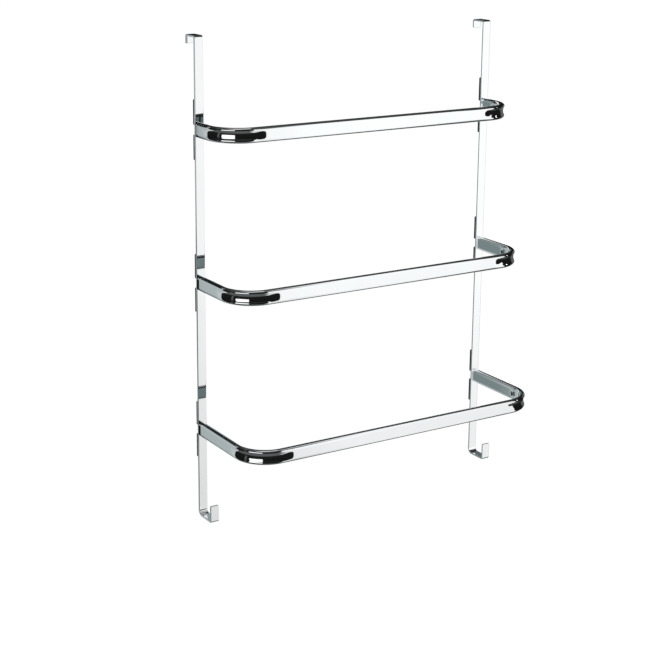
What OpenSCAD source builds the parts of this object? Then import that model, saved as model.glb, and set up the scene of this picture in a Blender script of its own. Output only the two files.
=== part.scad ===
// Three-rail towel rack that hangs over the top edge of a door or shower screen.
// Frame: +X to the right, -Y towards the room, +Z up. The origin is midway between
// the two hooks, at the height of the door's top edge (the undersides of the hooks)
// and in the plane of the door's front face (the back faces of the pads).

/* [Overall] */
// Distance between the centre lines of the two uprights
upright_span = 458; // [300:1:600]
// Drop from the door's top edge to the centre of the top rail
top_rail_drop = 118; // [90:1:200]
// Height difference from one rail to the next
rail_pitch = 203; // [140:1:260]

/* [Uprights] */
// Width of the flat bar
bar_w = 12.5; // [10:0.5:20]
// Thickness of the flat bar
bar_t = 2.5; // [2:0.1:3]
// Overall depth of the over-door hook, front face to back face
hook_depth = 25; // [20:0.5:60]
// Height of the hook's back lip, measured from the top
hook_lip_h = 12; // [10:1:40]
// Outer bend radius at the over-door hook
hook_r = 3; // [2.8:0.1:5]
// Distance from the bottom rail's centre down to the lowest point
tail_drop = 122.5; // [80:0.5:160]
// Projection of the garment hook in front of the upright
tail_reach = 33; // [25:0.5:60]
// Height of the garment hook's front lip
tail_lip_h = 24; // [16:1:40]
// Outer radius of the garment hook's rear bend
tail_r = 8; // [5:0.5:12]

/* [Rails] */
// Height of the flat-oval tube
tube_h = 20; // [18:0.5:25]
// Thickness of the flat-oval tube
tube_t = 9; // [8.5:0.5:12]
// Wall of the tube
tube_wall = 1.2; // [1:0.1:1.5]
// Outer radius of the rail's two bends
bend_r = 46; // [40:1:60]
// Projection of the top rail in front of the uprights
top_reach = 71; // [65:1:120]
// Extra projection of each rail over the one above it
reach_step = 35.5; // [0:0.5:50]

/* [Arm cores and screws] */
// Clearance above and below the core inside the tube
core_gap = 0.2; // [0.1:0.05:0.4]
// Thickness of the core
core_t = 5.4; // [4.5:0.1:5.6]
// Radius of the screws' shanks
screw_r = 2; // [1.5:0.1:2.2]
// Distance from the rail's front face back to the rail screw
rail_screw_back = 45; // [42:0.5:60]

/* [Pads] */
// Thickness of the door pads
pad_t = 4; // [3.6:0.1:6]
// Length of one door pad
pad_l = 33.5; // [20:0.5:45]
// Free height between the two pads of a joint
pad_gap = 12; // [10:0.5:16]

/* [Hidden] */
$fn = 64;
eps = 0.01;
face_y = -pad_t - bar_t;              // front faces of the uprights
back_y = -pad_t;                      // back faces of the uprights
half_span = upright_span / 2;
tube_r = tube_t / 2;
core_h = tube_h - 2 * tube_wall - 2 * core_gap;
tail_z = -top_rail_drop - 2 * rail_pitch - tail_drop;   // lowest point
function rail_z(i) = -top_rail_drop - i * rail_pitch;
function reach(i) = top_reach + i * reach_step;
head_r = 4;
head_h = 2.2;
washer_r = 4.5;
washer_t = 0.5;
shank_in_core = 12;
dimple_r = 6;
dimple_d = 0.5;
chrome = [0.82, 0.84, 0.86];
steel = [0.62, 0.64, 0.66];
dark_steel = [0.2, 0.21, 0.22];
cast = [0.5, 0.5, 0.5];
foam = [0.08, 0.08, 0.09];

// ---- shared shapes ----

// A quarter of a flat ring, in the quadrant turned by a
module quarter_ring(ro, a) {
    rotate(a) intersection() {
        difference() { circle(r = ro); circle(r = ro - bar_t); }
        square(ro + 1);
    }
}

// Side outline of one upright: x runs along the row's Y, y along its Z
module upright_outline() {
    lip_y = face_y + hook_depth;
    front_y = face_y - tail_reach;
    // vertical run
    translate([face_y, tail_z + tail_r]) square([bar_t, bar_t - hook_r - tail_z - tail_r]);
    // over-door hook
    translate([face_y + hook_r, bar_t - hook_r]) quarter_ring(hook_r, 90);
    translate([face_y + hook_r, 0]) square([hook_depth - 2 * hook_r, bar_t]);
    translate([lip_y - hook_r, bar_t - hook_r]) quarter_ring(hook_r, 0);
    translate([lip_y - bar_t, bar_t - hook_lip_h]) square([bar_t, hook_lip_h - hook_r]);
    // garment hook
    translate([face_y + bar_t - tail_r, tail_z + tail_r]) quarter_ring(tail_r, 270);
    translate([front_y + hook_r, tail_z]) square([tail_reach + bar_t - tail_r - hook_r, bar_t]);
    translate([front_y + hook_r, tail_z + hook_r]) quarter_ring(hook_r, 180);
    translate([front_y, tail_z + hook_r]) square([bar_t, tail_lip_h - hook_r]);
}

module upright(s) {
    difference() {
        translate([s * half_span, 0, 0]) rotate([90, 0, 90])
            linear_extrude(bar_w, center = true) upright_outline();
        // one clearance hole for each arm screw
        for (i = [0:2])
            translate([s * half_span, back_y + 1, rail_z(i)]) rotate([90, 0, 0])
                cylinder(r = screw_r + 0.25, h = bar_t + 2);
        // eased corners at the tip of the garment hook
        for (e = [-1, 1])
            translate([s * half_span + e * bar_w / 2, face_y - tail_reach - 1, tail_z + tail_lip_h])
                rotate([-90, 0, 0]) tip_corner(e);
    }
}

// Outside of a 1.5 mm corner radius, to cut from a bar's tip
module tip_corner(e) {
    r = 1.5;
    linear_extrude(bar_t + 2) difference() {
        translate([-e * r / 2, r / 2]) square([r + 2 * eps, r + 2 * eps], center = true);
        translate([-e * r, r]) circle(r = r);
    }
}

// Flat-oval outline, long axis along y, full-round ends
module oval(h, t) {
    square([t, h - t], center = true);
    for (e = [-1, 1]) translate([0, e * (h - t) / 2]) circle(r = t / 2);
}

module tube_section() {
    difference() {
        oval(tube_h, tube_t);
        oval(tube_h - 2 * tube_wall, tube_t - 2 * tube_wall);
    }
}

// One bent rail with its centre height at z = 0 and its ends at y = 0
module rail_tube(d) {
    rc = bend_r - tube_r;                // centre-line radius of the bends
    leg = d - bend_r;
    bar = upright_span - 2 * rc;
    difference() {
        union() {
            for (s = [-1, 1])
                translate([s * half_span, -leg, 0]) rotate([-90, 0, 0])
                    linear_extrude(leg) tube_section();
            translate([0, -d + tube_r, 0]) rotate([90, 0, 90])
                linear_extrude(bar, center = true) tube_section();
            translate([half_span - rc, -leg, 0]) rotate([0, 0, -90])
                rotate_extrude(angle = 90) translate([rc, 0]) tube_section();
            translate([-half_span + rc, -leg, 0]) rotate([0, 0, 180])
                rotate_extrude(angle = 90) translate([rc, 0]) tube_section();
        }
        // screw hole and dished seat in the inner wall of each arm
        for (s = [-1, 1])
            translate([s * (half_span - tube_r), -d + rail_screw_back, 0])
                rotate([0, s * 90, 0]) {
                    translate([0, 0, -1]) cylinder(r = screw_r + 0.2, h = tube_wall + 2);
                    translate([0, 0, -2]) cylinder(r = dimple_r, h = 2 + eps);
                    cylinder(r1 = dimple_r, r2 = screw_r + 1.1, h = dimple_d);
                }
    }
}

module rail(i) {
    translate([0, face_y, rail_z(i)]) rail_tube(reach(i));
}

// Solid core inside one arm, threaded at the back and across near the bend
module arm_core(i, s) {
    l = reach(i) - rail_screw_back + 5;
    translate([s * half_span, face_y, rail_z(i)]) difference() {
        rotate([90, 0, 0]) linear_extrude(l) oval(core_h, core_t);
        translate([0, 1, 0]) rotate([90, 0, 0]) cylinder(r = screw_r + 0.05, h = shank_in_core + 3);
        translate([0, -reach(i) + rail_screw_back, 0]) rotate([0, 90, 0])
            cylinder(r = screw_r + 0.05, h = core_t + 2, center = true);
    }
}

// Pan-head screws that hold the arm cores from behind the upright
module upright_screws(s) {
    for (i = [0:2])
        translate([s * half_span, back_y + washer_t, rail_z(i)]) rotate([-90, 0, 0]) difference() {
            union() {
                translate([0, 0, -washer_t - bar_t - shank_in_core])
                    cylinder(r = screw_r, h = washer_t + bar_t + shank_in_core + eps);
                cylinder(r1 = head_r, r2 = head_r - 0.5, h = head_h);
            }
            // cross recess
            translate([0, 0, head_h]) for (a = [0, 90]) rotate(a)
                cube([4, 0.8, 2.4], center = true);
        }
}

module screw_washers(s) {
    for (i = [0:2])
        translate([s * half_span, back_y, rail_z(i)]) rotate([-90, 0, 0]) difference() {
            cylinder(r = washer_r, h = washer_t);
            translate([0, 0, -1]) cylinder(r = screw_r + 0.15, h = washer_t + 2);
        }
}

// Low-head socket screws in the inner walls of the arms
module rail_screws(s) {
    for (i = [0:2])
        translate([s * (half_span - tube_r), face_y - reach(i) + rail_screw_back, rail_z(i)])
            rotate([0, s * 90, 0]) difference() {
                union() {
                    translate([0, 0, -0.7]) cylinder(r1 = 2.5, r2 = 3, h = 0.5);
                    translate([0, 0, -0.2]) cylinder(r = 3, h = 0.2 + dimple_d - 0.02);
                    translate([0, 0, dimple_d - 0.02]) cylinder(r = screw_r, h = tube_r + 1.6 - dimple_d);
                }
                // hexagonal socket
                translate([0, 0, -1]) cylinder(r = 1.45, h = 2.2, $fn = 6);
            }
}

// The two pads behind one joint, above and below the screw
module door_pads(i, s) {
    for (e = [-1, 1])
        translate([s * half_span, -pad_t / 2, rail_z(i) + e * (pad_gap + pad_l) / 2])
            rotate([90, 0, 0]) linear_extrude(pad_t, center = true) {
                square([bar_w - 0.5, pad_l - 3], center = true);
                square([bar_w - 3.5, pad_l], center = true);
                for (u = [-1, 1], v = [-1, 1])
                    translate([u * (bar_w - 3.5) / 2, v * (pad_l - 3) / 2]) circle(r = 1.5);
            }
}

// ---- nodes ----
module left_upright() { color(chrome) upright(-1); }
module right_upright() { color(chrome) upright(1); }
module top_rail() { color(chrome) rail(0); }
module middle_rail() { color(chrome) rail(1); }
module bottom_rail() { color(chrome) rail(2); }
module top_left_arm_core() { color(cast) arm_core(0, -1); }
module top_right_arm_core() { color(cast) arm_core(0, 1); }
module middle_left_arm_core() { color(cast) arm_core(1, -1); }
module middle_right_arm_core() { color(cast) arm_core(1, 1); }
module bottom_left_arm_core() { color(cast) arm_core(2, -1); }
module bottom_right_arm_core() { color(cast) arm_core(2, 1); }
module left_upright_screws() { color(steel) upright_screws(-1); }
module right_upright_screws() { color(steel) upright_screws(1); }
module left_screw_washers() { color(steel) screw_washers(-1); }
module right_screw_washers() { color(steel) screw_washers(1); }
module left_rail_screws() { color(dark_steel) rail_screws(-1); }
module right_rail_screws() { color(dark_steel) rail_screws(1); }
module top_left_door_pads() { color(foam) door_pads(0, -1); }
module top_right_door_pads() { color(foam) door_pads(0, 1); }
module middle_left_door_pads() { color(foam) door_pads(1, -1); }
module middle_right_door_pads() { color(foam) door_pads(1, 1); }
module bottom_left_door_pads() { color(foam) door_pads(2, -1); }
module bottom_right_door_pads() { color(foam) door_pads(2, 1); }

left_upright();
right_upright();
top_rail();
middle_rail();
bottom_rail();
top_left_arm_core();
top_right_arm_core();
middle_left_arm_core();
middle_right_arm_core();
bottom_left_arm_core();
bottom_right_arm_core();
left_upright_screws();
right_upright_screws();
left_screw_washers();
right_screw_washers();
left_rail_screws();
right_rail_screws();
top_left_door_pads();
top_right_door_pads();
middle_left_door_pads();
middle_right_door_pads();
bottom_left_door_pads();
bottom_right_door_pads();
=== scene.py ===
import math

import bpy
from mathutils import Matrix, Vector, noise


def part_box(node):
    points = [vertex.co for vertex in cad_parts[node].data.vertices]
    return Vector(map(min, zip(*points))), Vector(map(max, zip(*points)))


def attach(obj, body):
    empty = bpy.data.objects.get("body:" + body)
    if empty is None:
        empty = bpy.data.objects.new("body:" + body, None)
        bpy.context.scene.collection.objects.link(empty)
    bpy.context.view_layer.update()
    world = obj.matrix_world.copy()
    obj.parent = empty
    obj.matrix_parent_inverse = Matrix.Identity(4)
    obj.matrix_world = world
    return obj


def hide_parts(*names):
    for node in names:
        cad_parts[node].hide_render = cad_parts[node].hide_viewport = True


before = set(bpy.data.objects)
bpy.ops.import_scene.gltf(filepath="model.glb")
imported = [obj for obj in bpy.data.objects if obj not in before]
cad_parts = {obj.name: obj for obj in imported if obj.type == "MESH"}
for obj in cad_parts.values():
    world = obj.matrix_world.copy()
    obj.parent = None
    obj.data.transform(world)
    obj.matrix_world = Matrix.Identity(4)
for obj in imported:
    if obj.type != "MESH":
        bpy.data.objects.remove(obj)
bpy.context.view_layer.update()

MM = 0.001

# ------------------------------------------------------------------ camera

cam_data = bpy.data.cameras.new("camera")
cam = bpy.data.objects.new("camera", cam_data)
bpy.context.scene.collection.objects.link(cam)
bpy.context.scene.camera = cam
turn, dip, roll = 0.5609, 0.2506, 0.0099
look = Vector((math.sin(turn) * math.cos(dip), math.cos(turn) * math.cos(dip), -math.sin(dip)))
level = Vector((math.cos(turn), -math.sin(turn), 0.0))
over = level.cross(look)
right_ = level * math.cos(roll) + over * math.sin(roll)
above = over * math.cos(roll) - level * math.sin(roll)
cam.matrix_world = Matrix((
    (right_.x, above.x, -look.x, -1.1402),
    (right_.y, above.y, -look.y, -1.7621),
    (right_.z, above.z, -look.z, 0.2075),
    (0.0, 0.0, 0.0, 1.0)))
cam_data.lens = 86.18
cam_data.sensor_width = 36.0
cam_data.shift_y = -0.0892
cam_data.clip_end = 400.0

# ------------------------------------------------------------ node helpers


class Nodes:
    """Adds nodes to one tree and links their sockets."""

    def __init__(self, tree):
        self.tree = tree
        tree.nodes.clear()

    def add(self, kind, inputs=None, **props):
        n = self.tree.nodes.new(kind)
        for k, v in props.items():
            setattr(n, k, v)
        for k, v in (inputs or {}).items():
            sock = n.inputs[k]
            if isinstance(v, bpy.types.NodeSocket):
                self.tree.links.new(v, sock)
            else:
                sock.default_value = v
        return n

    def math(self, op, a, b=None, c=None, clamp=False):
        n = self.tree.nodes.new("ShaderNodeMath")
        n.operation = op
        n.use_clamp = clamp
        for i, v in enumerate((a, b, c)):
            if v is None:
                continue
            if isinstance(v, bpy.types.NodeSocket):
                self.tree.links.new(v, n.inputs[i])
            else:
                n.inputs[i].default_value = v
        return n.outputs[0]

    def ramp(self, fac, stops, interpolation="LINEAR"):
        n = self.tree.nodes.new("ShaderNodeValToRGB")
        n.color_ramp.interpolation = interpolation
        el = n.color_ramp.elements
        while len(el) > 1:
            el.remove(el[-1])
        el[0].position, el[0].color = stops[0][0], tuple(stops[0][1]) + (1,)
        for pos, col in stops[1:]:
            e = el.new(pos)
            e.color = tuple(col) + (1,)
        self.tree.links.new(fac, n.inputs[0])
        return n.outputs[0]

    def mix(self, fac, a, b, blend="MIX"):
        n = self.tree.nodes.new("ShaderNodeMix")
        n.data_type = "RGBA"
        n.blend_type = blend
        for key, v in ((0, fac), (6, a), (7, b)):
            if isinstance(v, bpy.types.NodeSocket):
                self.tree.links.new(v, n.inputs[key])
            else:
                n.inputs[key].default_value = v if key == 0 else tuple(v) + (1,)
        return n.outputs[2]


def new_material(name):
    m = bpy.data.materials.new(name)
    m.use_nodes = True
    return m, Nodes(m.node_tree)


def principled(n, **inputs):
    bsdf = n.add("ShaderNodeBsdfPrincipled")
    for k, v in inputs.items():
        sock = bsdf.inputs[k.replace("_", " ")]
        if isinstance(v, bpy.types.NodeSocket):
            n.tree.links.new(v, sock)
        else:
            sock.default_value = v
    out = n.add("ShaderNodeOutputMaterial")
    n.tree.links.new(bsdf.outputs[0], out.inputs[0])
    return bsdf


def bump_chain(n, *layers):
    """layers are (height socket, distance in metres, strength); the first is the coarsest."""
    normal = None
    for height, distance, strength in layers:
        b = n.add("ShaderNodeBump", {"Height": height, "Distance": distance, "Strength": strength})
        if normal is not None:
            n.tree.links.new(normal, b.inputs["Normal"])
        normal = b.outputs[0]
    return normal


# --------------------------------------------------------------- materials


def chrome(name, tint, along, wave, smudge):
    """Polished nickel-chrome plate: a cool mirror with faint waviness, a film of
    fine wiping marks that run along the part, and a few soft smudges."""
    m, n = new_material(name)
    co = n.add("ShaderNodeTexCoord").outputs["Object"]
    stretch = n.add("ShaderNodeMapping", {"Vector": co, "Scale": along}).outputs[0]
    hair = n.add("ShaderNodeTexNoise", {"Vector": stretch, "Scale": 900.0, "Detail": 3.0}).outputs[0]
    patch = n.add("ShaderNodeTexNoise", {"Vector": co, "Scale": 26.0, "Detail": 4.0, "Roughness": 0.55}).outputs[0]
    broad = n.add("ShaderNodeTexNoise", {"Vector": co, "Scale": 7.0, "Detail": 2.0}).outputs[0]
    marks = n.ramp(patch, [(0.50, (0, 0, 0)), (0.72, (1, 1, 1))])
    rough = n.math("MULTIPLY_ADD", hair, 0.022, 0.012)
    rough = n.math("MULTIPLY_ADD", marks, smudge, rough)
    low = tuple(c * 0.965 for c in tint)
    colour = n.mix(n.ramp(broad, [(0.3, (0, 0, 0)), (0.7, (1, 1, 1))]), tint, low)
    colour = n.mix(n.math("MULTIPLY", marks, 0.35), colour, tuple(c * 0.93 for c in tint))
    # the finest pits and dust in the plate
    pits = n.add("ShaderNodeTexVoronoi", {"Vector": co, "Scale": 420.0, "Randomness": 1.0}).outputs["Distance"]
    pit = n.ramp(pits, [(0.0, (1, 1, 1)), (0.045, (0, 0, 0))])
    colour = n.mix(n.math("MULTIPLY", pit, 0.25), colour, (0.45, 0.46, 0.47))
    ripple = n.add("ShaderNodeTexNoise", {"Vector": co, "Scale": 38.0, "Detail": 1.0}).outputs[0]
    normal = bump_chain(n, (ripple, 0.00002, wave), (hair, 0.000001, 0.25))
    principled(n, Base_Color=colour, Metallic=1.0, Roughness=rough, Normal=normal)
    return m


def steel(name, dark, light, scale, base_rough, metal=1.0):
    """Plated or cast fastener metal with grain, stains and a soft bump."""
    m, n = new_material(name)
    co = n.add("ShaderNodeTexCoord").outputs["Object"]
    grain = n.add("ShaderNodeTexNoise", {"Vector": co, "Scale": scale, "Detail": 6.0, "Roughness": 0.6}).outputs[0]
    stain = n.add("ShaderNodeTexNoise", {"Vector": co, "Scale": scale * 0.12, "Detail": 3.0}).outputs[0]
    colour = n.ramp(stain, [(0.32, dark), (0.68, light)])
    colour = n.mix(n.math("MULTIPLY", grain, 0.25), colour, tuple(c * 0.7 for c in dark))
    rough = n.math("MULTIPLY_ADD", grain, 0.22, base_rough)
    normal = bump_chain(n, (grain, 0.00004, 0.5))
    principled(n, Base_Color=colour, Metallic=metal, Roughness=rough, Normal=normal)
    return m


def foam(name):
    """Black closed-cell foam: packed cells with thin walls, matt and slightly dusty."""
    m, n = new_material(name)
    co = n.add("ShaderNodeTexCoord").outputs["Object"]
    cells = n.add("ShaderNodeTexVoronoi", {"Vector": co, "Scale": 2100.0}, feature="F1").outputs["Distance"]
    fine = n.add("ShaderNodeTexVoronoi", {"Vector": co, "Scale": 4700.0}, feature="F1").outputs["Distance"]
    dust = n.add("ShaderNodeTexNoise", {"Vector": co, "Scale": 180.0, "Detail": 5.0, "Roughness": 0.65}).outputs[0]
    wall = n.ramp(cells, [(0.15, (0.010, 0.010, 0.011)), (0.75, (0.032, 0.032, 0.034))])
    colour = n.mix(n.ramp(dust, [(0.45, (0, 0, 0)), (0.8, (1, 1, 1))]), wall, (0.055, 0.055, 0.056))
    rough = n.math("MULTIPLY_ADD", dust, 0.14, 0.78)
    normal = bump_chain(n, (dust, 0.0001, 0.35), (cells, 0.00012, 0.7), (fine, 0.00005, 0.5))
    principled(n, Base_Color=colour, Roughness=rough, Normal=normal)
    return m


def tape(name):
    """White release-side adhesive film between a pad and the plated bar."""
    m, n = new_material(name)
    co = n.add("ShaderNodeTexCoord").outputs["Object"]
    fibre = n.add("ShaderNodeTexNoise", {"Vector": co, "Scale": 900.0, "Detail": 5.0}).outputs[0]
    colour = n.ramp(fibre, [(0.3, (0.05, 0.05, 0.05)), (0.7, (0.10, 0.10, 0.10))])
    rough = n.math("MULTIPLY_ADD", fibre, 0.2, 0.4)
    principled(n, Base_Color=colour, Roughness=rough, Normal=bump_chain(n, (fibre, 0.00003, 0.5)))
    return m


M_UPRIGHT = chrome("upright_chrome_finish", (0.86, 0.875, 0.88), (1.0, 1.0, 0.05), 0.35, 0.035)
M_RAIL = chrome("rail_chrome_finish", (0.85, 0.87, 0.872), (0.05, 1.0, 1.0), 0.30, 0.03)
M_CORE = steel("core_metal_finish", (0.30, 0.30, 0.31), (0.48, 0.48, 0.49), 420.0, 0.45)
M_SCREW = steel("screw_steel_finish", (0.50, 0.51, 0.53), (0.66, 0.67, 0.69), 700.0, 0.16)
M_DARK = steel("rail_screw_steel_finish", (0.26, 0.28, 0.29), (0.42, 0.45, 0.46), 800.0, 0.20)
M_FOAM = foam("door_pad_foam_finish")
M_TAPE = tape("pad_tape_finish")

# ------------------------------------------------------------- mesh helpers


class Build:
    """Collects vertices (in mm) and faces, then makes one object in metres."""

    def __init__(self):
        self.v, self.f = [], []

    def vert(self, p):
        self.v.append((p[0], p[1], p[2]))
        return len(self.v) - 1

    def row(self, pts):
        return [self.vert(p) for p in pts]

    def bridge(self, a, b, closed=True, flip=False):
        n = len(a)
        for i in range(n if closed else n - 1):
            j = (i + 1) % n
            q = (a[i], a[j], b[j], b[i])
            self.f.append(q[::-1] if flip else q)

    def fan(self, ring, centre, flip=False):
        n = len(ring)
        for i in range(n):
            t = (ring[i], ring[(i + 1) % n], centre)
            self.f.append(t[::-1] if flip else t)

    def object(self, name, material, angle=40.0):
        me = bpy.data.meshes.new(name)
        me.from_pydata([(x * MM, y * MM, z * MM) for x, y, z in self.v], [], self.f)
        me.validate()
        import bmesh
        bm = bmesh.new()
        bm.from_mesh(me)
        bmesh.ops.remove_doubles(bm, verts=bm.verts, dist=1e-7)
        bmesh.ops.recalc_face_normals(bm, faces=bm.faces)
        for f in bm.faces:
            f.smooth = True
        limit = math.radians(angle)
        for e in bm.edges:
            e.smooth = len(e.link_faces) == 2 and e.calc_face_angle(0.0) < limit
        bm.to_mesh(me)
        bm.free()
        me.materials.append(material)
        o = bpy.data.objects.new(name, me)
        bpy.context.scene.collection.objects.link(o)
        return o


def smooth01(x):
    x = min(1.0, max(0.0, x))
    return x * x * (3 - 2 * x)


def place(o, node, also=()):
    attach(o, "root")
    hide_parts(node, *also)
    return o


# --------------------------------------------------- dimensions (mm), as built

box = {k: [[c / MM for c in p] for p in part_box(k)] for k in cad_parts}
HALF = 229.0
FACE_Y, BACK_Y = -6.5, -4.0
BAR_W, BAR_T = 12.5, 2.5
RAIL_Z = [-118.0, -321.0, -524.0]
RAIL_D = [71.0, 106.5, 142.0]
RAILS = ["top_rail", "middle_rail", "bottom_rail"]
for name_, z_, d_ in zip(RAILS, RAIL_Z, RAIL_D):
    b_ = box[name_]
    assert abs((b_[0][2] + b_[1][2]) / 2 - z_) < 0.05 and abs(b_[0][1] - (FACE_Y - d_)) < 0.05
TUBE_H, TUBE_T, WALL, BEND = 20.0, 9.0, 1.2, 46.0
SCREW_BACK = 45.0

# -------------------------------------------------------------------- rails


def oval_loop(h, t, n_round, wall_b_out, wall_b_in):
    """Flat-oval section as (a, b, side): a is outward, b is up. It starts low on the
    outer wall, goes up it, over the top, down the inner wall and round the bottom."""
    r, flat = t / 2, (h - t) / 2
    out = [(r, b, 1) for b in wall_b_out]
    for k in range(1, n_round):
        a = math.pi * k / n_round
        out.append((r * math.cos(a), flat + r * math.sin(a), 2))
    out += [(-r, b, 3) for b in reversed(wall_b_in)]
    for k in range(1, n_round):
        a = math.pi + math.pi * k / n_round
        out.append((r * math.cos(a), -flat + r * math.sin(a), 4))
    return out


def inner_a(b, h=TUBE_H, t=TUBE_T):
    """a of the inner wall at height b, on the flat or on the rounding."""
    r, flat = t / 2, (h - t) / 2
    over = max(0.0, abs(b) - flat)
    return -math.sqrt(max(r * r - over * over, 0.0))


def rail_path(d):
    """Pieces of the centre line: (length, function of the distance along it)."""
    rc = BEND - TUBE_T / 2
    leg = d - BEND
    arc = rc * math.pi / 2
    bar = 2 * (HALF - rc)
    total = 2 * leg + 2 * arc + bar

    def at(s):
        """Point and outward direction on the centre line."""
        if s <= leg:
            return (-HALF, FACE_Y - s), (-1.0, 0.0)
        if s <= leg + arc:
            g = (s - leg) / rc
            n = (-math.cos(g), -math.sin(g))
            return (-HALF + rc + rc * n[0], FACE_Y - leg + rc * n[1]), n
        if s <= leg + arc + bar:
            return (-HALF + rc + (s - leg - arc), FACE_Y - leg - rc), (0.0, -1.0)
        if s <= leg + 2 * arc + bar:
            g = (s - leg - arc - bar) / rc
            n = (math.sin(g), -math.cos(g))
            return (HALF - rc + rc * n[0], FACE_Y - leg + rc * n[1]), n
        return (HALF, FACE_Y - (total - s)), (1.0, 0.0)

    return leg, arc, bar, total, at


DENT = 2.1          # how far the outer wall is drawn in round a bend


def dent_amount(s, leg, arc, bar, total):
    """0 on the straights, 1 in a bend: the outer wall is drawn in as the flat tube bends."""
    u = min(s, total - s)
    run_arm = min(12.0, leg * 0.55)
    a = smooth01((u - (leg - run_arm)) / (run_arm + 16.0))
    b = 1.0 - smooth01((u - (leg + arc - 7.0)) / (7.0 + 19.0))
    return a * b


def dent_shape(b):
    """Share of the dent at height b: a broad trough between two ridges near the edges."""
    x = abs(b) / 7.5
    return (1 - x ** 3) ** 2 if x < 1 else 0.0


def rail(name, d, z0):
    leg, arc, bar, total, at = rail_path(d)
    bld = Build()
    win = 7.5
    nw = 14
    s_screw = [d - SCREW_BACK, total - (d - SCREW_BACK)]

    # stations along the tube
    def span(a, b, step):
        n = max(1, int(math.ceil((b - a) / step)))
        return [a + (b - a) * k / n for k in range(n)]

    half = []
    first = s_screw[0] - win
    half += [0.0, 0.06, 0.2, 0.45]
    half += span(0.9, first, 2.2)
    half += span(first, first + 2 * win, 2 * win / nw)
    half += span(first + 2 * win, leg + arc + 30.0, 1.25)
    half += span(leg + arc + 30.0, total / 2, 5.0)
    stations = half + [total / 2] + [total - s for s in reversed(half)]
    i_win = [min(range(len(stations)), key=lambda i: abs(stations[i] - (c - win))) for c in s_screw]

    # rows on the two walls; the inner wall's rows carry the windows for the screws
    b_out = [5.5 * math.sin(math.pi / 2 * k / 11) for k in range(-11, 12)]
    b_out = [x * (5.5 / 5.5) for x in b_out]
    b_in = [-win + 2 * win * k / nw for k in range(nw + 1)]
    loop = []
    r, flat = TUBE_T / 2, (TUBE_H - TUBE_T) / 2
    loop += [(r, b, "out") for b in b_out]
    n_round = 16
    top = []
    a_end = math.atan2(win - flat, -inner_a(win))          # where the inner wall's rows stop
    for k in range(1, n_round):
        a = (math.pi - a_end) * k / n_round
        top.append((r * math.cos(a), flat + r * math.sin(a)))
    loop += [(a, b, "top") for a, b in top]
    start_in = len(loop)
    loop += [(inner_a(b), b, "in") for b in reversed(b_in)]
    loop += [(a, -b, "bottom") for a, b in reversed(top)]
    m = len(loop)

    def crumple(s, b):
        """A slight flattening of the inner wall where the metal is pushed together."""
        u = min(s, total - s)
        g = (u - leg) / arc
        if g < -0.15 or g > 1.15:
            return 0.0
        w = smooth01((g + 0.15) / 0.3) * (1 - smooth01((g - 0.85) / 0.3))
        return 0.16 * w * math.cos(math.pi * b / 16.0) * (0.6 + 0.4 * math.cos(5.5 * math.pi * g))

    def press(s, b):
        """Depth of the dished seat round each rail screw."""
        depth = 0.0
        for c in s_screw:
            q = math.hypot(s - c, b)
            depth = max(depth, 0.48 * (1 - smooth01((q - 3.1) / 3.5)))
        return depth

    def point(s, a, b, side, skin=0.0, inset=0.0):
        (px, py), n = at(s)
        if skin or inset:
            k = skin + inset
            # move the section in by k along its own normal
            over = max(0.0, abs(b) - flat)
            nb = math.copysign(over / r, b)
            na = math.copysign(math.sqrt(max(0.0, 1 - nb * nb)), a)
            a, b = a - na * k, b - nb * k
        if side == "out" or (side in ("top", "bottom") and a > 0):
            lim = dent_amount(s, leg, arc, bar, total)
            a -= DENT * lim * dent_shape(b)
        if side == "in":
            a += press(s, b) + crumple(s, b)
        elif side in ("top", "bottom") and a < 0:
            a += crumple(s, b)
        return (px + a * n[0], py + a * n[1], z0 + b)

    hole_r = 2.2
    rings_out = [hole_r, hole_r + 0.12, 2.7, 3.1, 3.5, 4.0, 4.5, 5.0, 5.5, 6.0, 6.5, 7.0]
    ends = []
    hole = {}
    for skin in (0.0, WALL):
        rows = []
        for s in stations:
            end = min(s, total - s)
            inset = 0.0
            if skin == 0.0 and end < 0.44:
                q = 0.45 - end
                inset = 0.45 - math.sqrt(max(0.0, 0.45 ** 2 - q ** 2))
            rows.append(bld.row([point(s, a, b, side, skin, inset) for a, b, side in loop]))
        for i in range(len(rows) - 1):
            window = any(iw <= i < iw + nw for iw in i_win)
            for j in range(m):
                k = (j + 1) % m
                if window and start_in <= j < start_in + nw:
                    continue
                q = (rows[i][j], rows[i][k], rows[i + 1][k], rows[i + 1][j])
                bld.f.append(q if skin == 0.0 else q[::-1])
        # round patches in the windows
        for w, iw in enumerate(i_win):
            c = s_screw[w]
            border = []
            for j in range(start_in, start_in + nw):
                border.append((iw, j))
            for i in range(iw, iw + nw):
                border.append((i, start_in + nw))
            for j in range(start_in + nw, start_in, -1):
                border.append((iw + nw, j))
            for i in range(iw + nw, iw, -1):
                border.append((i, start_in))
            ids = [rows[i][j] for i, j in border]
            angle = [math.atan2(loop[j][1], stations[i] - c) for i, j in border]
            prev = None
            for q in rings_out:
                pts = []
                for t in angle:
                    s, b = c + q * math.cos(t), q * math.sin(t)
                    p = point(s, inner_a(b), b, "in", skin)
                    pts.append(p)
                ring = bld.row(pts)
                if prev is None:
                    hole[(skin, w)] = ring
                else:
                    bld.bridge(prev, ring)
                prev = ring
            bld.bridge(prev, ids)
        ends.append((rows[0], rows[-1]))
    for k in (0, 1):
        bld.bridge(ends[0][k], ends[1][k])
        bld.bridge(hole[(0.0, k)], hole[(WALL, k)])
    o = bld.object(name + "_tube", M_RAIL, 50.0)
    return place(o, name)


for name_, d_, z_ in zip(RAILS, RAIL_D, RAIL_Z):
    rail(name_, d_, z_)

# ----------------------------------------------------------------- uprights

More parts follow.
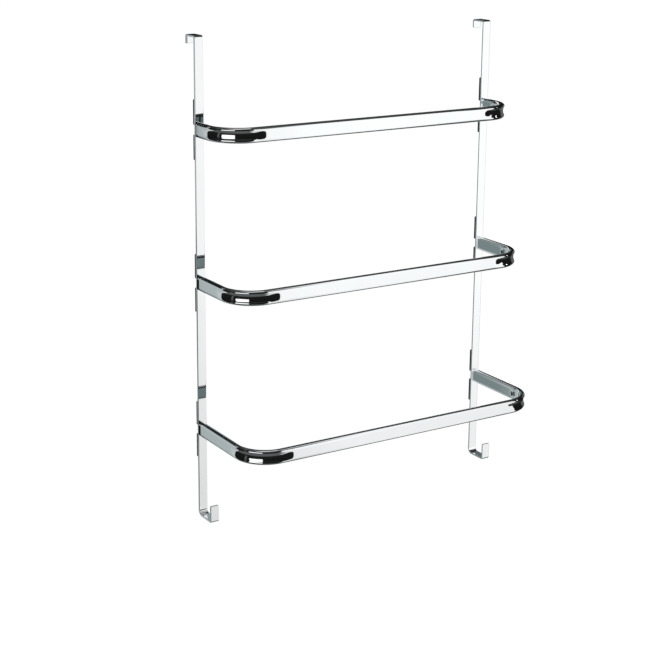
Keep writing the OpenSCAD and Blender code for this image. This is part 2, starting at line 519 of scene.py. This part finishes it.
TOP, TAIL = 2.5, -646.5
HOOK_DEPTH, LIP_H, HOOK_R = 25.0, 12.0, 3.0
TAIL_REACH, TAIL_LIP, TAIL_R = 33.0, 24.0, 8.0


def upright_path():
    """Centre line of the flat bar in (y, z), as (length, point, outward normal) pieces.
    The outward normal points to the room on the long run."""
    t = BAR_T / 2
    rh, rt = HOOK_R - t, TAIL_R - t
    lip_y = FACE_Y + HOOK_DEPTH - t
    y0 = FACE_Y + t
    front_y = FACE_Y - TAIL_REACH + t
    segs = []

    def line(a, b, n):
        length = math.dist(a, b)
        segs.append((length, lambda s: ((a[0] + (b[0] - a[0]) * s / length, a[1] + (b[1] - a[1]) * s / length), n)))

    def arc(c, r, a0, a1, sign):
        length = abs(a1 - a0) * r

        def f(s):
            g = a0 + (a1 - a0) * s / length
            u = (math.cos(g), math.sin(g))
            return (c[0] + r * u[0], c[1] + r * u[1]), (sign * u[0], sign * u[1])
        segs.append((length, f))

    line((lip_y, TOP - LIP_H), (lip_y, TOP - HOOK_R), (1, 0))
    arc((lip_y - rh, TOP - HOOK_R), rh, 0, math.pi / 2, 1)
    line((lip_y - rh, TOP - t), (y0 + rh, TOP - t), (0, 1))
    arc((y0 + rh, TOP - HOOK_R), rh, math.pi / 2, math.pi, 1)
    line((y0, TOP - HOOK_R), (y0, TAIL + TAIL_R), (-1, 0))
    # the garment hook turns forward, so the bar's room side becomes its inner side
    arc((y0 - rt, TAIL + TAIL_R), rt, 0, -math.pi / 2, -1)
    line((y0 - rt, TAIL + t), (front_y + rh, TAIL + t), (0, 1))
    arc((front_y + rh, TAIL + HOOK_R), rh, -math.pi / 2, -math.pi, -1)
    line((front_y, TAIL + HOOK_R), (front_y, TAIL + TAIL_LIP), (1, 0))
    return segs


def bar_section(r, n_corner, mid_x, mid_n):
    """Rounded rectangle, as (x, depth): the room side first (depth +), then round."""
    hw, ht = BAR_W / 2, BAR_T / 2
    pts = []
    front = [-(hw - r), -(hw - r) + 0.35] + mid_x + [(hw - r) - 0.35, (hw - r)]
    pts += [(x, ht, "front") for x in front]
    for k in range(1, n_corner):
        a = math.pi / 2 - math.pi / 2 * k / n_corner
        pts.append((hw - r + r * math.cos(a), ht - r + r * math.sin(a), "edge"))
    pts += [(hw, q, "edge") for q in (ht - r, ht - r - 0.2, 0.0, -(ht - r) + 0.2, -(ht - r))]
    for k in range(1, n_corner):
        a = -math.pi / 2 * k / n_corner
        pts.append((hw - r + r * math.cos(a), -(ht - r) + r * math.sin(a), "edge"))
    pts += [(x, -ht, "back") for x in reversed(front)]
    for k in range(1, n_corner):
        a = -math.pi / 2 - math.pi / 2 * k / n_corner
        pts.append((-(hw - r) + r * math.cos(a), -(ht - r) + r * math.sin(a), "edge"))
    pts += [(-hw, q, "edge") for q in (-(ht - r), -(ht - r) + 0.2, 0.0, ht - r - 0.2, ht - r)]
    for k in range(1, n_corner):
        a = math.pi - math.pi / 2 * k / n_corner
        pts.append((-(hw - r) + r * math.cos(a), ht - r + r * math.sin(a), "edge"))
    return pts


def upright(name, s_x):
    segs = upright_path()
    total = sum(x[0] for x in segs)
    r = 0.45
    nwx, wx = 8, 4.0
    mid = [-wx + 2 * wx * k / nwx for k in range(nwx + 1)]
    sect = bar_section(r, 5, mid, nwx)
    m = len(sect)
    j_front = 2                       # first of the window's columns on the front face
    n_front = len(mid) + 4
    j_back = None
    for j, p in enumerate(sect):
        if p[2] == "back":
            j_back = j + 2
            break

    starts = []
    acc = 0.0
    for length, _ in segs:
        starts.append(acc)
        acc += length
    run0 = starts[4]

    def at(s):
        for k in range(len(segs)):
            if s <= starts[k] + segs[k][0] + 1e-9 or k == len(segs) - 1:
                return segs[k][1](min(max(s - starts[k], 0.0), segs[k][0]))

    z_top_run = TOP - HOOK_R
    hole_s = [run0 + (z_top_run - z) for z in RAIL_Z]

    st = {0.0, total}
    for e in (0.05, 0.15, 0.3, 0.45, 0.8, 1.1, 1.5, 2.2):
        st.add(e)
        st.add(total - e)
    for k, (length, _) in enumerate(segs):
        a = starts[k]
        bend = k in (1, 3, 5, 7)
        if bend:
            n = 16 if k == 5 else 12
            for i in range(n + 1):
                st.add(a + length * i / n)
            st.add(a - 0.5)
            st.add(a + length + 0.5)
        elif k != 4:
            n = max(2, int(length / 3.0))
            for i in range(n + 1):
                st.add(a + length * i / n)
    marks = [run0] + sorted(hole_s) + [run0 + segs[4][0]]
    for c in hole_s:
        for i in range(nwx + 1):
            st.add(c - wx + 2 * wx * i / nwx)
    edges = [run0]
    for c in sorted(hole_s):
        edges += [c - wx, c + wx]
    edges.append(run0 + segs[4][0])
    for a, b in zip(edges[::2], edges[1::2]):
        n = max(1, int((b - a) / 7.0))
        for i in range(n + 1):
            st.add(a + (b - a) * i / n)
    stations = []
    for s in sorted(st):
        if 0.0 <= s <= total and (not stations or s - stations[-1] > 0.02):
            stations.append(s)
    if total - stations[-1] > 1e-6:
        stations[-1] = total

    # the blank's corners are eased at both tips
    def ease(s):
        u0, u1 = s, total - s
        out = 0.0
        for u, rad in ((u0, 1.0), (u1, 1.5)):
            if u < rad:
                out = max(out, rad - math.sqrt(max(0.0, rad * rad - (rad - u) ** 2)))
        return out

    def lip(s):
        u = min(s, total - s)
        if u >= r:
            return 0.0
        return r - math.sqrt(max(0.0, r * r - (r - u) ** 2))

    bends = [(starts[k], segs[k][0], k) for k in (1, 3, 7)]

    def point(s, x, depth):
        (py, pz), n = at(s)
        hw = BAR_W / 2
        e = ease(s)
        k = (hw - e) / hw if e else 1.0
        q = lip(s)
        ht = BAR_T / 2
        x = x * k
        depth = depth * ((ht - q) / ht)
        if q:
            x = x * (hw - q) / hw
        # the sides belly out a touch inside each tight bend, and draw in outside it
        for a, length, kk in bends:
            g = (s - a) / length
            if 0.0 < g < 1.0 and abs(x) > hw - 1.2:
                inside = -depth if kk in (1, 3) else depth
                x -= math.copysign(0.06 * math.sin(math.pi * g) * (1 - inside / ht), x)
        return (s_x * HALF + x, py + n[0] * depth, pz + n[1] * depth)

    bld = Build()
    rows = [bld.row([point(s, x, q) for x, q, _ in sect]) for s in stations]
    i_win = [min(range(len(stations)), key=lambda i: abs(stations[i] - (c - wx))) for c in hole_s]
    for i in range(len(rows) - 1):
        window = any(iw <= i < iw + nwx for iw in i_win)
        for j in range(m):
            k = (j + 1) % m
            if window and (j_front <= j < j_front + nwx or j_back <= j < j_back + nwx):
                continue
            bld.f.append((rows[i][j], rows[i][k], rows[i + 1][k], rows[i + 1][j]))
    for iw, c in zip(i_win, hole_s):
        mouths = []
        for j0, depth in ((j_front, BAR_T / 2), (j_back, -BAR_T / 2)):
            border = [(iw, j) for j in range(j0, j0 + nwx)]
            border += [(i, j0 + nwx) for i in range(iw, iw + nwx)]
            border += [(iw + nwx, j) for j in range(j0 + nwx, j0, -1)]
            border += [(i, j0) for i in range(iw + nwx, iw, -1)]
            ids = [rows[i][j] for i, j in border]
            ang = [math.atan2(stations[i] - c, sect[j][0]) for i, j in border]
            prev = ids
            sgn = 1 if depth > 0 else -1
            for q, back in ((3.2, 0.0), (2.55, 0.0), (2.37, 0.05), (2.25, 0.2)):
                ring = bld.row([point(c + q * math.sin(t), q * math.cos(t), depth - sgn * back) for t in ang])
                bld.bridge(prev, ring)
                prev = ring
            mouths.append((prev, ang))
        (fr, fa), (bk, ba) = mouths
        order = [min(range(len(bk)), key=lambda q: abs(math.remainder(ba[q] - t, 2 * math.pi))) for t in fa]
        bld.bridge(fr, [bk[q] for q in order])
    # close both tips
    for row_ in (rows[0], rows[-1]):
        # mirror pairs across the thickness: front column j to the back column behind it
        cols_f = row_[0:n_front]
        back0 = j_back - 2
        cols_b = row_[back0:back0 + n_front][::-1]
        for a in range(n_front - 1):
            bld.f.append((cols_f[a], cols_f[a + 1], cols_b[a + 1], cols_b[a]))
        right = row_[n_front - 1:back0 + 1]
        left = row_[back0 + n_front - 1:] + [row_[0]]
        bld.f.append(tuple(right))
        bld.f.append(tuple(left))
    o = bld.object(name + "_bar", M_UPRIGHT, 50.0)
    return place(o, name)


upright("left_upright", -1)
upright("right_upright", 1)

# ------------------------------------------------------------------ screws


def thread_radius(z, t, r, pitch, length):
    """Rolled thread: a helical ridge that fades out at both ends."""
    ph = (z / pitch - t / (2 * math.pi)) % 1.0
    ridge = 1 - abs(2 * ph - 1)
    fade = smooth01(min(z, length - z) / pitch)
    return r - 0.28 + 0.28 * ridge * fade


def recess_radius(t, arm, half_w):
    """Outline of a cross recess in polar form."""
    a = abs(math.remainder(t, math.pi / 2))
    return min(arm / max(math.cos(a), 1e-6), half_w / max(math.sin(a), 1e-6)) if a > 1e-6 else arm


def angles_for_cross(arm, half_w, per=10):
    corner = math.atan2(half_w, arm)
    base = []
    for q in range(4):
        c = q * math.pi / 2
        base += [c - corner, c - corner / 2, c, c + corner / 2, c + corner]
        lo, hi = c + corner, c + math.pi / 2 - corner
        base += [lo + (hi - lo) * k / per for k in range(1, per)]
    return base


def pan_screws(name, s_x):
    bld = Build()
    arm, hw = 2.0, 0.42
    ang = angles_for_cross(arm, hw)
    n = len(ang)
    for z0 in RAIL_Z:
        seat = BACK_Y + 0.5
        turn_ = 0.35 + 0.9 * RAIL_Z.index(z0) + (0.5 if s_x > 0 else 0.0)

        def ring(rad, y):
            """rad: number or function of the angle; y: distance behind the seat."""
            pts = []
            for t in ang:
                q = rad(t) if callable(rad) else rad
                a = t + turn_
                pts.append((s_x * HALF + q * math.cos(a), seat + y, z0 + q * math.sin(a)))
            return bld.row(pts)

        # recess, from its floor out to the mouth
        floor_c = bld.vert((s_x * HALF, seat + 0.95, z0))
        rows = []
        for k, y in ((0.55, 0.95), (0.80, 1.15), (0.93, 1.7), (1.0, 2.05)):
            rows.append(ring(lambda t, k=k: recess_radius(t, arm * k, hw * (0.8 + 0.2 * k)), y))
        rows.append(ring(lambda t: recess_radius(t, arm * 1.03, hw * 1.12) + 0.03, 2.14))
        for q, y in ((2.25, 2.18), (2.7, 2.12), (3.1, 1.98), (3.45, 1.72), (3.72, 1.36), (3.88, 0.95), (3.96, 0.55), (3.98, 0.3), (3.93, 0.1), (3.8, 0.0), (3.0, 0.0), (2.05, 0.0)):
            rows.append(ring(q, y))
        bld.fan(rows[0], floor_c)
        for a, b in zip(rows, rows[1:]):
            bld.bridge(a, b)
        # plain neck and thread
        length = 14.8
        prev = rows[-1]
        for q, y in ((1.96, -0.15), (1.96, -1.2), (1.72, -1.5)):
            cur = ring(q, y)
            bld.bridge(prev, cur)
            prev = cur
        steps = 96
        for k in range(steps + 1):
            d = (length - 1.7) * k / steps
            pts = []
            for t in ang:
                q = thread_radius(d, t, 2.0, 0.7, length - 1.7)
                a = t + turn_
                pts.append((s_x * HALF + q * math.cos(a), seat - 1.6 - d, z0 + q * math.sin(a)))
            cur = bld.row(pts)
            bld.bridge(prev, cur)
            prev = cur
        tip = ring(1.2, -length - 0.2)
        bld.bridge(prev, tip)
        bld.fan(tip, bld.vert((s_x * HALF, seat - length - 0.2, z0)))
    o = bld.object(name + "_set", M_SCREW, 32.0)
    return place(o, name)


def washers(name, s_x):
    bld = Build()
    n = 56
    for z0 in RAIL_Z:
        def ring(q, y):
            return bld.row([(s_x * HALF + q * math.cos(2 * math.pi * k / n), BACK_Y + y, z0 + q * math.sin(2 * math.pi * k / n)) for k in range(n)])
        prof = [(2.15, 0.06), (2.2, 0.0), (3.0, 0.0), (4.36, 0.0), (4.46, 0.04), (4.5, 0.14), (4.5, 0.34), (4.44, 0.45), (4.3, 0.5), (3.2, 0.5), (2.25, 0.5), (2.15, 0.44)]
        rows = [ring(q, y) for q, y in prof]
        for a, b in zip(rows, rows[1:] + rows[:1]):
            bld.bridge(a, b)
    o = bld.object(name + "_set", M_SCREW, 40.0)
    return place(o, name)


def socket_screws(name, s_x):
    """Low-head screws with a hexagonal socket, seated in the dishes of the arms."""
    bld = Build()
    n = 60
    hexr = 1.45
    for z0, d in zip(RAIL_Z, RAIL_D):
        wall = s_x * (HALF - TUBE_T / 2)
        cy = FACE_Y - d + SCREW_BACK
        turn_ = 0.25 + 0.4 * RAIL_Z.index(z0)

        def ring(q, deep):
            """deep: distance into the arm from the flat of its wall."""
            pts = []
            for k in range(n):
                t = 2 * math.pi * k / n
                rad = q(t) if callable(q) else q
                a = t + turn_
                pts.append((wall + s_x * deep, cy + rad * math.cos(a), z0 + rad * math.sin(a)))
            return bld.row(pts)

        def hexagon(scale):
            def f(t):
                a = math.remainder(t, math.pi / 3)
                return hexr * scale * math.cos(math.pi / 6) / math.cos(a)
            return f
        centre = bld.vert((wall + s_x * 1.05, cy, z0))
        rows = [ring(lambda t: 0.6, 0.92)]
        rows += [ring(hexagon(k), y) for k, y in ((0.88, 0.80), (0.98, 0.74), (1.0, 0.6), (1.0, -0.4), (1.02, -0.56), (1.08, -0.64))]
        for q, y in ((1.85, -0.69), (2.1, -0.70), (2.35, -0.66), (2.6, -0.55), (2.82, -0.34), (2.94, -0.08), (2.98, 0.15), (2.98, 0.36), (2.9, 0.46), (2.7, 0.48), (2.03, 0.48)):
            rows.append(ring(q, y))
        bld.fan(rows[0], centre)
        for a, b in zip(rows, rows[1:]):
            bld.bridge(a, b)
        prev = rows[-1]
        length = 5.4
        steps = 40
        for k in range(steps + 1):
            u = length * k / steps
            pts = []
            for i in range(n):
                t = 2 * math.pi * i / n
                q = thread_radius(u, t, 2.0, 0.7, length)
                pts.append((wall + s_x * (0.6 + u), cy + q * math.cos(t + turn_), z0 + q * math.sin(t + turn_)))
            cur = bld.row(pts)
            bld.bridge(prev, cur)
            prev = cur
        tip = ring(1.3, 6.09)
        bld.bridge(prev, tip)
        bld.fan(tip, bld.vert((wall + s_x * 6.09, cy, z0)))
    o = bld.object(name + "_set", M_DARK, 32.0)
    return place(o, name)


for side, s_x in (("left", -1), ("right", 1)):
    pan_screws(side + "_upright_screws", s_x)
    washers(side + "_screw_washers", s_x)
    socket_screws(side + "_rail_screws", s_x)

# --------------------------------------------------------------- door pads


def pads(node, s_x, z_rail, seed):
    """Two die-cut foam pads: crowned on the door side, edges pulled in, small open cells."""
    w, h, t, rc = 12.0, 33.5, 3.8, 1.5
    foam_b, tape_b = Build(), Build()
    nx, nz = 26, 72

    def squircle(u, v, hw, hh, r):
        """Maps a square grid position to the rounded rectangle."""
        x, z = u * hw, v * hh
        cx, cz = hw - r, hh - r
        ax, az = abs(x), abs(z)
        if ax > cx and az > cz:
            # pull the corner in onto its radius
            dx, dz = ax - cx, az - cz
            m_ = max(dx, dz)
            q = math.hypot(dx, dz)
            k = m_ / q if q > 0 else 1.0
            ax, az = cx + dx * k, cz + dz * k
        return math.copysign(ax, x), math.copysign(az, z)

    for sign in (-1, 1):
        zc = z_rail + sign * (6.0 + h / 2)
        off = Vector((seed * 3.1 + sign, seed * 1.7, seed * 0.9))
        hw, hh = w / 2, h / 2
        # layers from the tape side (y = -3.8) to the door side (y = 0)
        layers = [(-3.8, 0.10), (-3.72, 0.03), (-3.3, 0.07), (-2.6, 0.14), (-1.9, 0.17), (-1.2, 0.14), (-0.7, 0.09), (-0.42, 0.12), (-0.2, 0.28), (-0.07, 0.55)]
        perim = [(i / nx * 2 - 1, -1.0) for i in range(nx)] + [(1.0, k / nz * 2 - 1) for k in range(nz)]
        perim += [(1 - i / nx * 2, 1.0) for i in range(nx)] + [(-1.0, 1 - k / nz * 2) for k in range(nz)]
        rings = []
        for y, ins in layers:
            ring = []
            for u, v in perim:
                x, z = squircle(u, v, hw - ins, hh - ins, max(0.3, rc - ins))
                n_ = noise.noise(Vector((x * 0.9, y * 1.3, z * 0.9)) + off) * 0.05
                n_ += noise.noise(Vector((x * 3.1, y * 3.3, z * 3.1)) + off) * 0.03
                k = 1 - abs(n_) / hw
                ring.append((s_x * HALF + x * k, y, zc + z * (1 - abs(n_) / hh)))
            rings.append(foam_b.row(ring))
        for a, b in zip(rings, rings[1:]):
            foam_b.bridge(a, b)
        # the two broad faces as grids that meet the first and last rings
        for y0, ins, ring, crown in ((-3.8, 0.10, rings[0], 0.0), (-0.07, 0.55, rings[-1], 1.0)):
            grid = {}
            for k in range(len(perim)):
                u, v = perim[k]
                grid[(round((u + 1) / 2 * nx), round((v + 1) / 2 * nz))] = ring[k]
            for i in range(nx + 1):
                for k in range(nz + 1):
                    if (i, k) in grid:
                        continue
                    u, v = i / nx * 2 - 1, k / nz * 2 - 1
                    x, z = squircle(u, v, hw - ins, hh - ins, max(0.3, rc - ins))
                    y = y0
                    if crown:
                        edge = min(hw - ins - abs(x), hh - ins - abs(z))
                        y = -0.07 + 0.05 * smooth01(edge / 0.8)
                        cell = noise.noise(Vector((x * 2.2, 7.7, z * 2.2)) + off)
                        fine = noise.noise(Vector((x * 6.0, 1.7, z * 6.0)) + off)
                        y -= 0.035 * max(0.0, cell) + 0.03 * max(0.0, fine) * smooth01(edge / 0.5)
                    grid[(i, k)] = foam_b.vert((s_x * HALF + x, y, zc + z))
            for i in range(nx):
                for k in range(nz):
                    foam_b.f.append((grid[(i, k)], grid[(i + 1, k)], grid[(i + 1, k + 1)], grid[(i, k + 1)]))
        # adhesive film
        rings = []
        for y, ins in ((-3.99, 0.28), (-3.96, 0.22), (-3.84, 0.22), (-3.81, 0.26)):
            rings.append(tape_b.row([(s_x * HALF + squircle(u, v, hw - ins, hh - ins, rc - ins)[0], y,
                                      zc + squircle(u, v, hw - ins, hh - ins, rc - ins)[1]) for u, v in perim]))
        for a, b in zip(rings, rings[1:]):
            tape_b.bridge(a, b)
        for ring, y, ins in ((rings[0], -3.99, 0.28), (rings[-1], -3.81, 0.26)):
            inner = tape_b.row([(s_x * HALF + squircle(u, v, hw - 1.6, hh - 1.6, 0.3)[0], y,
                                 zc + squircle(u, v, hw - 1.6, hh - 1.6, 0.3)[1]) for u, v in perim])
            tape_b.bridge(ring, inner)
            tape_b.fan(inner, tape_b.vert((s_x * HALF, y, zc)))
    o = foam_b.object(node + "_foam", M_FOAM, 60.0)
    place(o, node)
    f = tape_b.object(node + "_film", M_TAPE, 40.0)
    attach(f, "root")


for level, z_ in zip(("top", "middle", "bottom"), RAIL_Z):
    for side, s_x in (("left", -1), ("right", 1)):
        pads(level + "_" + side + "_door_pads", s_x, z_, RAIL_Z.index(z_) * 2 + (s_x > 0) + 1)

# --------------------------------------------------- cores stay CAD solids

for key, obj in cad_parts.items():
    if key.endswith("_arm_core"):
        if not obj.material_slots:
            obj.data.materials.append(M_CORE)
        for slot_ in obj.material_slots:
            slot_.material = M_CORE

# -------------------------------------------------- studio: floor and cards

scene = bpy.context.scene
scene.view_settings.view_transform = "Standard"
scene.view_settings.look = "None"


def rays(o, **on):
    for k in ("camera", "diffuse", "glossy", "transmission", "volume_scatter", "shadow"):
        setattr(o, "visible_" + k, on.get(k, False))


def studio_floor():
    """One seamless sheet: a level floor that turns up into a wall all round, far away."""
    bld = Build()
    n = 128
    floor_z, flat, r, wall = -1.05, 20.0, 8.0, 12.0
    prof = [(0.5, floor_z), (4.0, floor_z), (10.0, floor_z), (flat, floor_z)]
    prof += [(flat + r * math.sin(a), floor_z + r * (1 - math.cos(a))) for a in [math.pi / 2 * k / 24 for k in range(1, 25)]]
    prof += [(flat + r, floor_z + r + wall), (flat * 0.6, floor_z + r + wall * 1.7), (1.0, floor_z + r + wall * 1.9)]
    rows = [bld.row([(q * math.cos(2 * math.pi * k / n) / MM, q * math.sin(2 * math.pi * k / n) / MM, z / MM) for k in range(n)]) for q, z in prof]
    for a, b in zip(rows, rows[1:]):
        bld.bridge(a, b)
    bld.fan(rows[0], bld.vert((0, 0, floor_z / MM)))
    bld.fan(rows[-1], bld.vert((0, 0, (floor_z + r + wall * 1.9) / MM)))
    m, nn = new_material("studio_floor_paint")
    co = nn.add("ShaderNodeTexCoord").outputs["Object"]
    cloud = nn.add("ShaderNodeTexNoise", {"Vector": co, "Scale": 0.8, "Detail": 2.0}).outputs[0]
    col = nn.ramp(cloud, [(0.3, (0.965, 0.967, 0.968)), (0.7, (0.985, 0.986, 0.986))])
    em = nn.add("ShaderNodeEmission", {"Color": col, "Strength": 1.035})
    out = nn.add("ShaderNodeOutputMaterial")
    m.node_tree.links.new(em.outputs[0], out.inputs[0])
    o = bld.object("studio_floor", m, 60.0)
    rays(o, camera=True)


studio_floor()


def card(name, centre, facing, width, height, stops_x, stops_z=None, strength=1.0, diffuse=True, fade=None):
    """A flat light or flag. facing is the direction that it faces; colours run from its
    left to its right as seen from the object, and stops_z darkens it from bottom to top.
    fade lets the right end thin out to nothing between the two positions."""
    c, f = Vector(centre), Vector(facing).normalized()
    up = Vector((0, 0, 1)) if abs(f.z) < 0.95 else Vector((0, 1, 0))
    right = (-f).cross(up).normalized()
    up = right.cross(-f).normalized()
    bld = Build()
    nx = 8
    rows = []
    for k in range(3):
        rows.append(bld.row([tuple((c + right * width * (i / nx - 0.5) + up * height * (k / 2 - 0.5)) / MM) for i in range(nx + 1)]))
    for a, b in zip(rows, rows[1:]):
        bld.bridge(a, b, closed=False)
    m, n = new_material(name + "_paint")
    co = n.add("ShaderNodeTexCoord").outputs["Object"]
    shift = n.add("ShaderNodeVectorMath", {0: co, 1: tuple(c)}, operation="SUBTRACT").outputs[0]
    dx = n.add("ShaderNodeVectorMath", {0: shift, 1: tuple(right)}, operation="DOT_PRODUCT").outputs["Value"]
    dz = n.add("ShaderNodeVectorMath", {0: shift, 1: tuple(up)}, operation="DOT_PRODUCT").outputs["Value"]
    fx = n.math("MULTIPLY_ADD", dx, 1 / width, 0.5)
    fz = n.math("MULTIPLY_ADD", dz, 1 / height, 0.5)
    col = n.ramp(fx, stops_x)
    if stops_z:
        col = n.mix(1.0, col, n.ramp(fz, stops_z), "MULTIPLY")
    em = n.add("ShaderNodeEmission", {"Color": col, "Strength": strength})
    out = n.add("ShaderNodeOutputMaterial")
    shader = em.outputs[0]
    if fade:
        clear = n.add("ShaderNodeBsdfTransparent")
        show = n.ramp(fx, [(fade[0], (1, 1, 1)), (fade[1], (0, 0, 0))], "EASE")
        shader = n.add("ShaderNodeMixShader", {0: show, 1: clear.outputs[0], 2: shader}).outputs[0]
    m.node_tree.links.new(shader, out.inputs[0])
    o = bld.object(name, m, 60.0)
    rays(o, glossy=True, diffuse=diffuse)
    return o


def heading(az, el=0.0):
    """Unit vector for a compass angle: 0 to the front (-Y), 90 to the right (+X)."""
    a, e = math.radians(az), math.radians(el)
    return Vector((math.sin(a) * math.cos(e), -math.cos(a) * math.cos(e), math.sin(e)))


def around(az, dist, z):
    v = heading(az) * dist
    return (v.x, v.y, z)


W = (1.0, 1.0, 1.0)


def grey(v, cool=0.0):
    return (v * (1 - cool), v, v * (1 + cool * 0.12))


# key: the broad white wall to the front right, which the bars and the uprights show
card("key_wall", around(35.3, 2.0, -1.05), -heading(35.3), 1.10, 3.9,
     [(0.0, grey(1.0)), (0.70, grey(1.0)), (1.0, grey(0.90))],
     [(0.0, grey(0.70)), (0.26, grey(0.80)), (0.38, grey(0.92)), (0.45, grey(1.02)), (0.51, grey(1.10)), (0.57, grey(1.16)), (1.0, grey(1.18))], 1.0)
# softbox to the front left, the small window in the left bends
card("left_box", around(-60.0, 6.0, 0.76), -heading(-60.0), 4.9, 4.8, [(0.0, grey(0.25)), (0.03, grey(0.8)), (0.05, W), (1.0, W)], None, 1.3)
# grey-green wall behind
card("back_wall", (-0.25, 1.0, -0.86), (0, -1, 0), 2.7, 1.68,
     [(0.0, grey(0.0)), (0.10, grey(0.01)), (0.12, grey(0.62, 0.04)), (0.18, grey(0.62, 0.05)), (0.26, grey(0.54, 0.09)), (0.31, grey(0.50, 0.10)), (0.355, grey(0.27, 0.18)), (0.39, grey(0.26, 0.18)), (0.47, grey(0.52, 0.10)), (0.67, grey(0.50, 0.10)), (0.74, grey(0.23, 0.20)), (0.80, grey(0.20, 0.21)), (1.0, grey(0.15, 0.20))], None, 1.0)
# a paler band far behind, for the upper rims of the right-hand arms
card("back_band", (-6.4, 8.0, 2.3), (0, -1, 0), 2.8, 4.8,
     [(0.0, grey(0.38, 0.1)), (1.0, grey(0.34, 0.1))], None, 1.0, False)
card("back_band_high", (-3.9, 8.0, 5.8), (0, -1, 0), 3.4, 2.4,
     [(0.0, grey(0.34, 0.1)), (1.0, grey(0.30, 0.1))], None, 1.0, False)
# dim panels at the sides, and a small lamp that glints in the right-hand bends
card("left_strip", around(-93.0, 2.4, -0.55), -heading(-93.0), 0.44, 1.9,
     [(0.0, grey(0.0)), (0.35, grey(0.09)), (0.75, grey(0.12)), (1.0, grey(0.0))], None, 1.0, False)
card("right_panel", (2.4, 0.75, -0.55), (-1, 0, 0), 1.5, 1.9,
     [(0.0, grey(0.16, 0.1)), (0.8, grey(0.12, 0.06)), (1.0, grey(0.02))], None, 1.0, False)
card("glint", around(66.0, 3.0, 0.85), -heading(66.0), 0.22, 0.22, [(0.0, W), (1.0, W)], None, 7.0, False)
# soft panel just in front of the bars, so that they are lit from straight on as well; from the
# main camera it falls in line with the key wall, and its level follows that wall
card("front_panel", (0.09, -0.22, -0.40), (0, 1, 0), 0.39, 0.90,
     [(0.0, W), (1.0, W)], [(0.0, grey(0.82)), (0.34, grey(0.87)), (0.56, grey(0.96)), (0.79, W), (1.0, W)], 1.165, False, fade=(0.66, 0.99))
# overhead bank, seen by anything that faces straight up
card("overhead", (0.0, -0.2, 2.6), (0, 0, -1), 1.9, 1.5, [(0.0, grey(0.7)), (1.0, grey(0.8))], None, 1.0)



def soft_lamp(name, centre, side, power):
    """Large soft lamp for the matt parts; the plate shows the cards instead."""
    data = bpy.data.lights.new(name, "AREA")
    data.shape, data.size, data.size_y, data.energy = "RECTANGLE", side, side, power
    o = bpy.data.objects.new(name, data)
    scene.collection.objects.link(o)
    o.location = centre
    o.rotation_euler = (Vector((0.0, -0.06, -0.32)) - Vector(centre)).to_track_quat("-Z", "Y").to_euler()
    o.visible_glossy = False
    o.visible_camera = False


soft_lamp("soft_front_right", (1.5, -1.9, 0.9), 1.6, 26.0)
soft_lamp("soft_front_left", (-1.8, -1.2, 0.5), 1.4, 12.0)
soft_lamp("soft_back", (-0.4, 2.1, 0.7), 1.6, 20.0)

world = bpy.data.worlds.new("studio_surround")
scene.world = world
world.use_nodes = True
wn = Nodes(world.node_tree)
gen = wn.add("ShaderNodeTexCoord").outputs["Generated"]
sep = wn.add("ShaderNodeSeparateXYZ", {"Vector": gen})
elev = wn.math("ARCSINE", sep.outputs["Z"])
up01 = wn.math("MULTIPLY_ADD", elev, 1 / math.pi, 0.5)
sky = wn.ramp(up01, [(0.0, grey(0.12, 0.05)), (0.20, grey(0.12, 0.05)), (0.27, grey(0.09, 0.05)), (0.325, grey(0.012)), (0.62, grey(0.008)), (0.74, grey(0.03, 0.05)), (0.88, grey(0.10, 0.05)), (1.0, grey(0.14, 0.05))])
bg = wn.add("ShaderNodeBackground", {"Color": sky, "Strength": 1.0})
wo = wn.add("ShaderNodeOutputWorld")
world.node_tree.links.new(bg.outputs[0], wo.inputs[0])
